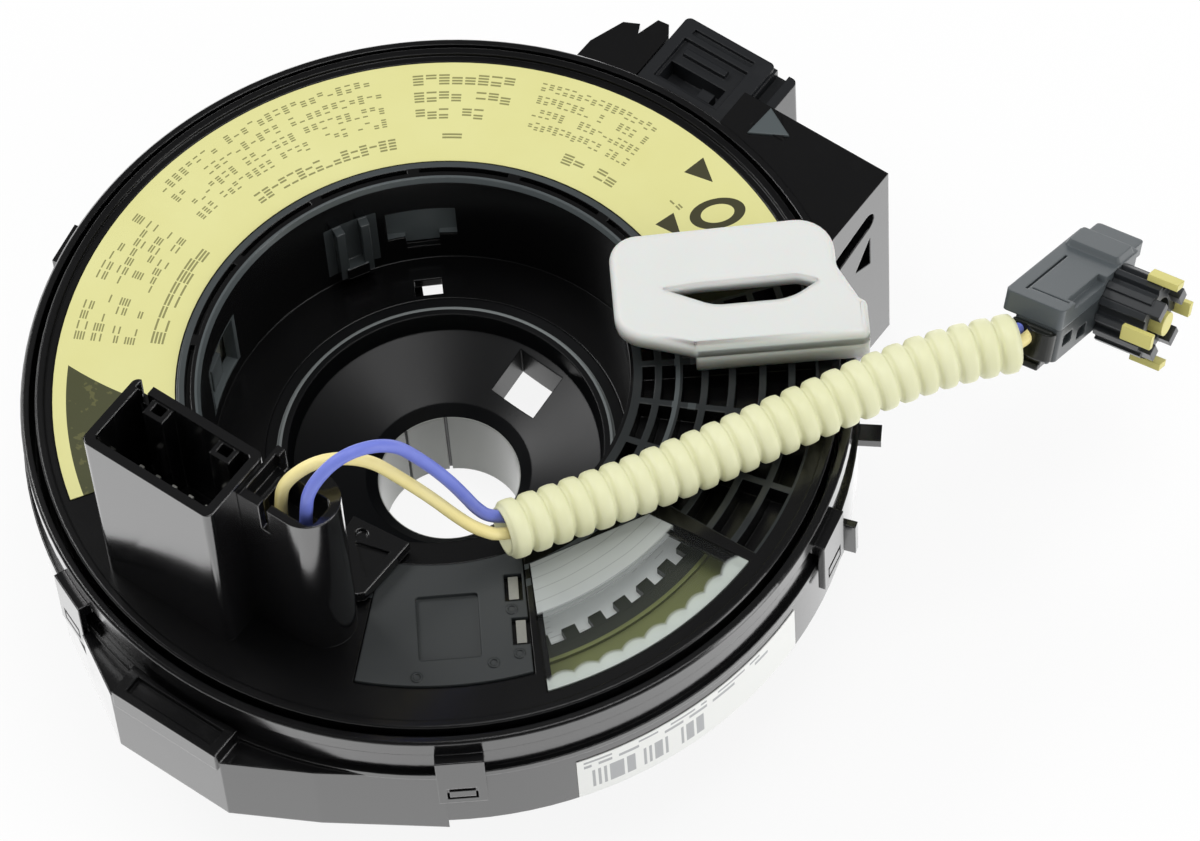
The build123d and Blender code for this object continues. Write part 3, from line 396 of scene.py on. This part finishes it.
finishes = {
    "stator_case": caseBlack, "stator_ring": caseBlack, "column_connector": greyBlack,
    "column_connector_pins": tinned, "airbag_connector": greyBlack, "airbag_connector_pins": tinned,
    "side_label": barSticker(stickerPrint), "flat_cable": plainPlastic("cableFilm", rgb(150, 152, 140), 0.3),
    "cable_carrier": carrierPlastic({"step": 40.7, "dark": rgb(26, 33, 14), "light": rgb(112, 119, 62)}),
    "guide_sheet": guideFilm({
        # the glow is painted light, making the sheet look lit under the lens
        "from": 32.5, "over": 5.5, "glow": 0.14,
        "dark": rgb(196, 202, 200), "light": rgb(226, 231, 229), "line": rgb(150, 154, 152),
    }),
    "rotor": rotorBlack, "rotor_label": labelFilm(labelPrint), "window_lens": clearLens(lensLook),
    "cancel_cam": hubPlastic({
        # the rim ring colour is a painted highlight and the bore wall colour is painted light
        "colour": rgb(11, 12, 14), "rimHighlight": rgb(128, 133, 133), "wall": rgb(168, 170, 166),
        "rough": 0.26, "edge": 0.00028,
        "rimHighlightRadii": (20.9, 21.6), "rimHighlightFrom": 18.9, "wallRadius": 9.4, "wallTop": 12.3,
    }),
    "wheel_connector": housingBlack, "wheel_connector_pins": tinned, "wire_outlet": housingBlack,
    "access_cover": black("coverGrey", colour=rgb(44, 48, 49), rough=0.42), "contact_tabs": tinned,
    "squib_body": plugShadedGrey,
    "squib_cover": plugGrey, "squib_nose": noseGrey,
    "squib_strips": plainPlastic("stripYellow", rgb(222, 214, 128), 0.4), "squib_latch": plugGrey,
    "transit_lock": plainPlastic("lockWhite", rgb(218, 220, 217), 0.36, 0.0006, 0.96, 0.2),
}
for nodeName, material in finishes.items():
    mesh = nodes[nodeName].data
    mesh.materials.clear()
    mesh.materials.append(material)
print("finishes on", len(finishes), "nodes")


# ---- the transit lock, with its rounded outline and finger hole
lockLook = {
    "turn": 40.0, "top": 42.0, "thick": 2.2, "edge": 0.9,
    # x, y and corner radius in the lock's own direction
    "outline": [(22.5, 15.0, 3.6), (22.6, 0.5, 4.2), (32.2, -2.6, 0.4), (54.0, -2.6, 1.0), (54.0, 2.6, 0.8),
                (53.1, 3.3, 0.8), (50.7, 8.4, 3.0), (50.7, 15.8, 4.8)],
    "hole": [(28.4, 6.5, 0.2), (35.0, 3.3, 6.0), (44.6, 3.4, 7.0), (48.6, 6.0, 0.3), (45.6, 7.1, 2.5),
             (33.0, 6.9, 4.0)],
    "wall": [(32.3, -2.6, 0.3), (54.0, -2.6, 1.0), (54.0, -1.0, 0.3), (32.3, -1.0, 0.3)],
    "wallLow": 36.8, "feet": [38.7, 42.6],
    "foot": (1.9, 2.0, 1.1, 33.0),          # length, depth, middle and lower end
}


def roundedOutline(corners, steps=9):
    # closed line with an arc of its own radius at each corner
    made = []
    for index, (x, y, radius) in enumerate(corners):
        here = Vector((x, y))
        toBack = (Vector(corners[index - 1][:2]) - here).normalized()
        toNext = (Vector(corners[(index + 1) % len(corners)][:2]) - here).normalized()
        half = toBack.angle(toNext) / 2
        centre = here + (toBack + toNext).normalized() * (radius / math.sin(half))
        first = here + toBack * (radius / math.tan(half)) - centre
        last = here + toNext * (radius / math.tan(half)) - centre
        for step in range(steps):
            made.append(centre + first.normalized().slerp(last.normalized(), step / (steps - 1)) * radius)
    return made


def insetLine(points, amount):
    moved = []
    for index, point in enumerate(points):
        along = (points[(index + 1) % len(points)] - points[index - 1]).normalized()
        moved.append(point + Vector((-along.y, along.x)) * amount)
    return moved


def roundedPlate(bm, outline, hole, top, thick, edge, steps=4):
    # rounded over its top edge, straight below it, and with a hole whose rim is slightly rounded
    def loop(points, z):
        return [bm.verts.new((*point, z)) for point in points]

    def skin(first, second):
        for index in range(len(first)):
            bm.faces.new((first[index - 1], first[index], second[index], second[index - 1]))

    def rounding(points, radius):
        loops = []
        for step in range(steps + 1):
            turn = math.pi / 2 * step / steps
            level = top - radius * (1 - math.cos(turn))
            loops.append(loop(insetLine(points, radius * (1 - math.sin(turn))), level))
        loops.append(loop(points, top - thick))
        for first, second in zip(loops, loops[1:]):
            skin(first, second)
        return loops

    outer = rounding(outline, edge)
    inner = rounding(hole, -edge * 0.3)
    for level in (0, -1):
        rim = []
        for loops in (outer, inner):
            verts = loops[level]
            rim += [bm.edges.get((verts[i - 1], verts[i])) for i in range(len(verts))]
        bmesh.ops.triangle_fill(bm, edges=rim, use_beauty=True)


def upright(bm, outline, low, high):
    # closed prism on an outline
    ends = [[bm.verts.new((*point, z)) for point in outline] for z in (low, high)]
    for index in range(len(outline)):
        bm.faces.new((ends[0][index - 1], ends[0][index], ends[1][index], ends[1][index - 1]))
    for end in ends:
        bm.faces.new(end)


def bevelledBox(bm, low, high, bevel):
    box = bmesh.ops.create_cube(bm, size=1.0)["verts"]
    middle = (Vector(low) + Vector(high)) / 2
    bmesh.ops.scale(bm, verts=box, vec=Vector(high) - Vector(low))
    bmesh.ops.translate(bm, verts=box, vec=middle)
    if bevel:
        corners = set(box)
        edges = [edge for edge in bm.edges if corners.issuperset(edge.verts)]
        bmesh.ops.bevel(bm, geom=edges, offset=bevel, segments=3, affect="EDGES", profile=0.5, material=-1)


def inOneOrder(bm):
    # spin and bevel give their faces in a new order each run, so both lists are sorted by place
    def settle(parts, key):
        for number, part in enumerate(sorted(parts, key=key)):
            part.index = number
        parts.sort()

    settle(bm.verts, lambda vert: [round(value, 9) for value in vert.co])
    settle(bm.faces, lambda face: sorted(vert.index for vert in face.verts))


def finishedPiece(name, bm, material, body, turn=0.0):
    # millimetres to metres, turned about the axis, at the origin
    bmesh.ops.rotate(bm, verts=bm.verts, cent=(0, 0, 0), matrix=Matrix.Rotation(math.radians(turn), 3, "Z"))
    bmesh.ops.scale(bm, verts=bm.verts, vec=(0.001, 0.001, 0.001))
    bmesh.ops.recalc_face_normals(bm, faces=bm.faces)
    inOneOrder(bm)
    mesh = bpy.data.meshes.new(name)
    bm.to_mesh(mesh)
    bm.free()
    obj = bpy.data.objects.new(name, mesh)
    scene.collection.objects.link(obj)
    mesh.materials.append(material)
    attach(obj, body)
    return obj


bm = bmesh.new()
roundedPlate(bm, roundedOutline(lockLook["outline"]), roundedOutline(lockLook["hole"]),
             lockLook["top"], lockLook["thick"], lockLook["edge"])
low = lockLook["wallLow"]
upright(bm, roundedOutline(lockLook["wall"]), low, lockLook["top"] - lockLook["edge"])
length, depth, middle, footLow = lockLook["foot"]
for x in lockLook["feet"]:
    near, far = middle - depth / 2, middle + depth / 2
    bevelledBox(bm, (x - length / 2, near, footLow), (x + length / 2, far, low + 3), 0)
lockHandle = finishedPiece("lockHandle", bm, finishes["transit_lock"], "lock", lockLook["turn"])
for face in lockHandle.data.polygons:
    face.use_smooth = abs(face.normal.z) < 0.99
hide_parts("transit_lock")
print("lock made")

# ---- lighter three-cornered mark on the hood
markLook = {"corners": [(10.2, 52.4), (14.9, 55.0), (10.5, 57.2)], "low": 35.1, "high": 35.5}
bm = bmesh.new()
upright(bm, [Vector(point) for point in markLook["corners"]], markLook["low"], markLook["high"])
hoodMark = finishedPiece("hoodMark", bm, black("markGrey", colour=rgb(78, 85, 87)), "stator")

# ---- the wires and their sleeve
wireLook = {"diameter": 0.0016, "side": 0.00095}
sleeveLook = {
    "outer": 0.00375, "groove": 0.00312, "inner": 0.0027, "rings": 25, "sides": 36,
    # one ring: share of its pitch, and how far it rises from groove to outer
    "ringShape": [(0.0, 0.0), (0.1, 0.0), (0.15, 0.5), (0.24, 0.88), (0.4, 1.0), (0.64, 1.0), (0.82, 0.88),
                  (0.9, 0.5), (0.95, 0.0)],
}
plugLook = {"origin": (0.0577, 0.0460, 0.0396), "along": (-0.052, 0.871, -0.488), "up": (-0.111, 0.481, 0.870),
            "depth": 0.0012}

sleeveRoute = [
    (0.0228, -0.0164, 0.0426), (0.0296, -0.0046, 0.0410), (0.0362, 0.0074, 0.0404),
    (0.0426, 0.0196, 0.0404), (0.0486, 0.0310, 0.0403), (0.0536, 0.0384, 0.0400),
    (0.0576, 0.0432, 0.0394),
]
yellowStart = [
    (0.0060, -0.0366, 0.0576), (0.0061, -0.0365, 0.0608), (0.0066, -0.0359, 0.0654),
    (0.0096, -0.0324, 0.0686), (0.0132, -0.0282, 0.0664), (0.0156, -0.0254, 0.0604),
    (0.0177, -0.0228, 0.0544), (0.0195, -0.0210, 0.0496), (0.0213, -0.0194, 0.0459),
    (0.0236, -0.0169, 0.0428),
]
blueStart = [
    (0.0102, -0.0372, 0.0576), (0.0104, -0.0369, 0.0628), (0.0108, -0.0361, 0.0682),
    (0.0130, -0.0319, 0.0722), (0.0158, -0.0266, 0.0702), (0.0175, -0.0234, 0.0636),
    (0.0189, -0.0208, 0.0570), (0.0198, -0.0190, 0.0514), (0.0202, -0.0179, 0.0478),
    (0.0211, -0.0165, 0.0445), (0.0239, -0.0126, 0.0423),
]


def besideRoute(points, amount):
    # the route moved sideways, level with the floor
    moved = []
    for index, point in enumerate(points):
        before = Vector(points[max(index - 1, 0)])
        after = Vector(points[min(index + 1, len(points) - 1)])
        along = after - before
        moved.append(Vector(point) + Vector((along.y, -along.x, 0)).normalized() * amount)
    return moved


def smoothLine(name, points, radius):
    data = bpy.data.curves.new(name, "CURVE")
    data.dimensions = "3D"
    data.resolution_u = 12
    data.bevel_depth = radius
    data.bevel_resolution = 5
    data.use_fill_caps = radius > 0
    spline = data.splines.new("NURBS")
    spline.points.add(len(points) - 1)
    for place, point in zip(spline.points, points):
        place.co = (*point, 1.0)
    spline.order_u = 3
    spline.use_endpoint_u = True
    obj = bpy.data.objects.new(name, data)
    scene.collection.objects.link(obj)
    return obj


def wireFinish(name, colour, shade):
    f = Finish(name)
    cloudy = f.noise(120, 4)
    f.surface(Base_Color=f.mix((cloudy - 0.3) * 1.5, shade, colour), Roughness=0.36 + cloudy * 0.14,
              Normal=f.bump(f.noise(900, 3), 0.1, 0.00003))
    return f.material


plugDir = Vector(plugLook["along"]).normalized()
plugSide = plugDir.cross(Vector(plugLook["up"]).normalized())
wires = {}
for name, start, side, colours in (
    ("wireYellow", yellowStart, wireLook["side"], (rgb(248, 237, 176), rgb(240, 224, 150))),
    ("wireBlue", blueStart, -wireLook["side"], (rgb(128, 142, 226), rgb(104, 117, 206))),
):
    last = Vector(plugLook["origin"]) + plugDir * plugLook["depth"] + plugSide * side
    route = [Vector(p) for p in start] + besideRoute(sleeveRoute, side)[1:] + [last]
    wires[name] = smoothLine(name, route, wireLook["diameter"] / 2)
    wires[name].data.materials.append(wireFinish(name + "Finish", *colours))
    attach(wires[name], "rotor")


def sleeveFinish():
    f = Finish("sleeveFinish")
    cloudy = f.noise(70, 4)
    f.surface(Base_Color=f.mix((cloudy - 0.3) * 1.5, rgb(220, 220, 176), rgb(231, 231, 196)),
              Roughness=0.4 + cloudy * 0.1, Normal=f.bump(f.noise(700, 3), 0.12, 0.00005),
              Subsurface_Weight=0.15, Subsurface_Radius=(1.0, 1.0, 0.7), Subsurface_Scale=0.002)
    return f.material


def corrugatedSleeve(look):
    guide = smoothLine("sleeveGuide", [Vector(p) for p in sleeveRoute], 0)
    guide.data.resolution_u = 24
    length = guide.data.splines[0].calc_length()
    pitch = length / look["rings"]
    profile = []
    for ring in range(look["rings"]):
        base = ring * pitch
        for share, rise in look["ringShape"]:
            profile.append((base + share * pitch, look["groove"] + (look["outer"] - look["groove"]) * rise))
    profile.append((length, look["groove"]))
    profile += [(ring * pitch, look["inner"]) for ring in range(look["rings"], -1, -1)]
    bm = bmesh.new()
    points = [bm.verts.new((along, out, 0)) for along, out in profile]
    edges = [bm.edges.new(pair) for pair in zip(points, points[1:] + points[:1])]
    bmesh.ops.spin(bm, geom=points + edges, cent=(0, 0, 0), axis=(1, 0, 0), angle=2 * math.pi,
                   steps=look["sides"], use_merge=True)
    bmesh.ops.remove_doubles(bm, verts=bm.verts, dist=1e-6)
    bmesh.ops.recalc_face_normals(bm, faces=bm.faces)
    inOneOrder(bm)
    straight = bpy.data.meshes.new("straightSleeve")
    bm.to_mesh(straight)
    bm.free()
    rough = bpy.data.objects.new("straightSleeve", straight)
    scene.collection.objects.link(rough)
    bend = rough.modifiers.new("route", "CURVE")
    bend.object = guide
    bend.deform_axis = "POS_X"
    bpy.context.view_layer.update()
    graph = bpy.context.evaluated_depsgraph_get()
    bent = bpy.data.meshes.new_from_object(rough.evaluated_get(graph))
    path = [tuple(v.co) for v in guide.evaluated_get(graph).to_mesh().vertices]
    bpy.data.objects.remove(rough)
    bpy.data.objects.remove(guide)
    sleeve = bpy.data.objects.new("corrugatedSleeve", bent)
    scene.collection.objects.link(sleeve)
    for face in bent.polygons:
        face.use_smooth = True
    bent.materials.append(sleeveFinish())
    return sleeve, path, length


sleeve, sleevePath, sleeveLength = corrugatedSleeve(sleeveLook)
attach(sleeve, "rotor")
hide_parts("wire_sleeve")
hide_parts("wire_yellow")
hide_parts("wire_blue")

# ---- the plug's rear end: a dark plate painted as the shade under the cover's overhang, with the dark boss beside the wires and the latch foot
plugRear = {
    "plateX": (-0.5, 0.05), "plateY": (-3.3, 2.2), "low": -3.7, "high": 0.6,
    "boss": (-0.3, -1.9, 1.9), "bossReach": 0.55, "bossSteps": 12,
    "foot": (-0.6, 2.2, -2.6, 1.6, -5.0, -3.7),
}
bm = bmesh.new()
(x0, x1), (y0, y1) = plugRear["plateX"], plugRear["plateY"]
bevelledBox(bm, (x0, y0, plugRear["low"]), (x1, y1, plugRear["high"]), 0.15)
x, y, radius = plugRear["boss"]
boss = []
for step in range(plugRear["bossSteps"] + 1):
    turn = math.pi * step / plugRear["bossSteps"]
    boss.append(Vector((x - radius * plugRear["bossReach"] * math.sin(turn), y + radius * math.cos(turn))))
boss += [Vector((0.02, y - radius)), Vector((0.02, y + radius))]
upright(bm, boss, plugRear["low"] + 0.3, plugRear["high"] - 0.2)
x0, x1, y0, y1, z0, z1 = plugRear["foot"]
bevelledBox(bm, (x0, y0, z0), (x1, y1, z1), 0.25)
bevelledBox(bm, (x0 - 0.5, y0, z0), (x0 + 0.6, y1, z0 + 0.9), 0.2)
plugUp = Vector(plugLook["up"]).normalized()
plugTurn = Matrix((plugDir, plugUp.cross(plugDir), plugUp)).transposed()
bmesh.ops.rotate(bm, verts=bm.verts, cent=(0, 0, 0), matrix=plugTurn)
bmesh.ops.translate(bm, verts=bm.verts, vec=Vector(plugLook["origin"]) * 1000)
# the plate's near-black is painted shade, while the boss and latch foot are dark parts in the same finish
rearPiece = finishedPiece("plugRear", bm, black("rearShadeBlack", colour=rgb(22, 24, 20)), "rotor")

plugNodes = ("squib_body", "squib_cover", "squib_nose", "squib_strips", "squib_latch")
plugPieces = [nodes[name] for name in plugNodes] + [rearPiece]
for name in ("wireYellow", "wireBlue"):
    "connector" if name == "wireBlue" else "object"
    plugPieces if name == "wireBlue" else []
print("sleeve length", round(sleeveLength, 4))

# ---- floor, light and camera
stageLook = {
    "size": 3.0, "floor": (0.86, 0.86, 0.86, 1.0), "seenGlow": 0.88, "mirroredGlow": 1.7,
    "sky": 0.65, "skySeen": 1.0, "skyMirrored": 0.12,
}
bm = bmesh.new()
bmesh.ops.create_grid(bm, x_segments=1, y_segments=1, size=stageLook["size"])
floorMesh = bpy.data.meshes.new("floor")
bm.to_mesh(floorMesh)
bm.free()
floor = bpy.data.objects.new("floor", floorMesh)
scene.collection.objects.link(floor)
f = Finish("floorWhite")
paper = f.node("BsdfDiffuse", None, {"Color": stageLook["floor"]})
glow = f.node("Emission", None, {"Color": (1, 1, 1, 1), "Strength": 1.0})
seen = f.node("LightPath", output="Is Camera Ray")
mirrored = f.node("LightPath", output="Is Glossy Ray")
shown = f.node("MixShader", None, {0: seen * stageLook["seenGlow"], 1: paper, 2: glow})
bright = f.node("Emission", None, {"Color": (1, 1, 1, 1), "Strength": stageLook["mirroredGlow"]})
reflected = f.node("MixShader", None, {0: mirrored, 1: shown, 2: bright})
f.tree.links.new(reflected.out, f.out.inputs[0])
floorMesh.materials.append(f.material)

world = bpy.data.worlds.new("studio")
scene.world = world
world.use_nodes = True
sky = world.node_tree.nodes
sky["Background"].inputs[0].default_value = (1.0, 1.0, 1.0, 1.0)
sky["Background"].inputs[1].default_value = stageLook["sky"]
lightPath = sky.new("ShaderNodeLightPath")
white = sky.new("ShaderNodeBackground")
white.inputs[1].default_value = stageLook["skySeen"]
dim = sky.new("ShaderNodeBackground")
dim.inputs[1].default_value = stageLook["skyMirrored"]
chooseDim = sky.new("ShaderNodeMixShader")
choose = sky.new("ShaderNodeMixShader")
skyLinks = world.node_tree.links
skyLinks.new(lightPath.outputs["Is Glossy Ray"], chooseDim.inputs[0])
skyLinks.new(sky["Background"].outputs[0], chooseDim.inputs[1])
skyLinks.new(dim.outputs[0], chooseDim.inputs[2])
skyLinks.new(lightPath.outputs["Is Camera Ray"], choose.inputs[0])
skyLinks.new(chooseDim.outputs[0], choose.inputs[1])
skyLinks.new(white.outputs[0], choose.inputs[2])
skyLinks.new(choose.outputs[0], sky["World Output"].inputs[0])

cameraLook = {"target": (0.02046, 0.0064, 0.036), "elevation": 57.70, "around": 40.0, "roll": -4.65,
              "distance": 0.78146, "lens": 189.225}
e, a, r = (math.radians(cameraLook[k]) for k in ("elevation", "around", "roll"))
back = Vector((math.sin(a) * math.cos(e), -math.cos(a) * math.cos(e), math.sin(e)))
level = Vector((math.cos(a), math.sin(a), 0))
rise = back.cross(level)
right = level * math.cos(r) + rise * math.sin(r)
up = rise * math.cos(r) - level * math.sin(r)
cameraData = bpy.data.cameras.new("camera")
camera = bpy.data.objects.new("camera", cameraData)
scene.collection.objects.link(camera)
cameraData.lens = cameraLook["lens"]
cameraData.sensor_width = 36
place = Vector(cameraLook["target"]) + back * cameraLook["distance"]
camera.matrix_world = Matrix((
    (right.x, up.x, back.x, place.x), (right.y, up.y, back.y, place.y),
    (right.z, up.z, back.z, place.z), (0, 0, 0, 1)))
scene.camera = camera


def softbox(name, away, size, power):
    # an area lamp that looks at the part; its direction is given as right, up and back of the camera
    data = bpy.data.lights.new(name, "AREA")
    data.shape = "RECTANGLE"
    data.size, data.size_y = size
    data.energy = power
    lamp = bpy.data.objects.new(name, data)
    scene.collection.objects.link(lamp)
    lookedAt = Vector((0, 0, 0.03))
    where = lookedAt + level * away[0] + rise * away[1] + back * away[2]
    lamp.location = where
    lamp.rotation_euler = (where - lookedAt).to_track_quat("Z", "Y").to_euler()


lampLook = {                                # direction, size and power of each
    "topLeft": ((-0.55, 0.75, 0.45), (0.5, 0.35), 3.6),
    "overhead": ((0.15, 0.55, 0.8), (0.5, 0.4), 2.4),
    "lowRight": ((0.8, -0.2, 0.4), (0.25, 0.5), 2.0),
}
for lampName, (away, size, power) in lampLook.items():
    softbox(lampName, away, size, power)

scene.view_settings.view_transform = "Standard"
print("scene ready")
